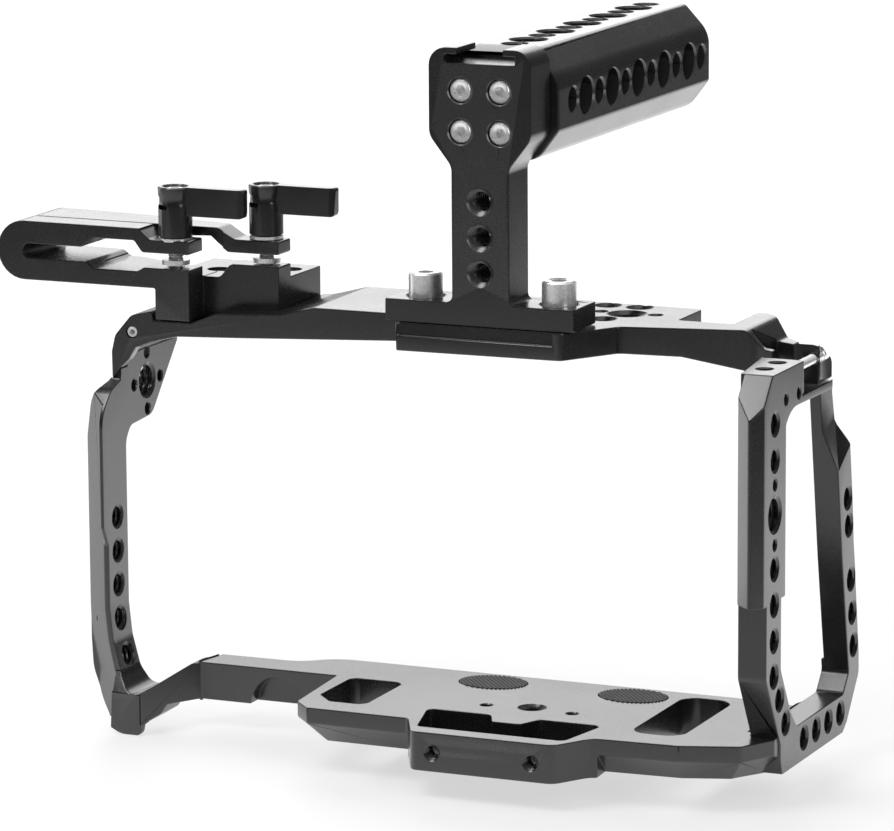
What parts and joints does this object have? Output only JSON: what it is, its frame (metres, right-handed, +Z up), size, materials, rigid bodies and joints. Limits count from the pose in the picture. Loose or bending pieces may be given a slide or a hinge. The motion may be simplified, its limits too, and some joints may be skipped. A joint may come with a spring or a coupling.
{
  "type": "camera cage rig",
  "caption": "Black aluminium cage around a camera body, with a perforated top handle and a cable clamp whose cap levers turn on studs.",
  "frame": {"origin": "a point on the flat underside of the base plate, 8 mm behind the axis of the tripod hole, where the metal is solid", "axes": "+X towards the cable clamp's opposite side, the loop with the rail; +Y from the front of the cage to its back; +Z up through the top handle"},
  "size_m": [0.2221, 0.1481, 0.1838],
  "materials": {
    "black_anodised": "fine bead-blasted black anodising",
    "bright_steel": "bright plated",
    "rubber": "matt, ribbed"
  },
  "bodies": {
    "cage": {"lower_frame": "black_anodised", "top_plate": "black_anodised", "handle_stem": "black_anodised", "handle_grip": "black_anodised", "clamp_body": "black_anodised", "front_stud": "bright_steel", "rear_stud": "bright_steel", "friction_pad_left": "rubber", "foot_bolt_left": "bright_steel", "friction_pad_right": "rubber", "foot_bolt_right": "bright_steel", "grip_screw_1": "bright_steel", "grip_screw_2": "bright_steel", "grip_screw_3": "bright_steel", "grip_screw_4": "bright_steel", "clamp_screw_1": "bright_steel", "clamp_screw_2": "bright_steel", "joint_screw_left": "bright_steel", "joint_screw_right": "bright_steel"},
    "front_cap_lever": {"front_lever": "black_anodised", "front_lever_cap": "bright_steel"},
    "rear_cap_lever": {"rear_lever": "black_anodised", "rear_lever_cap": "bright_steel"}
  },
  "joints": [
    {"name": "front_lever_turn", "type": "hinge", "parent": "cage", "child": "front_cap_lever", "pos_m": [-0.1042, 0.0041, 0.1223], "axis": [0, 0, 1], "range_deg": [-75, 5]},
    {"name": "rear_lever_turn", "type": "hinge", "parent": "cage", "child": "rear_cap_lever", "pos_m": [-0.0823, 0.0125, 0.1229], "axis": [0, 0, 1], "range_deg": [-60, 60]}
  ]
}
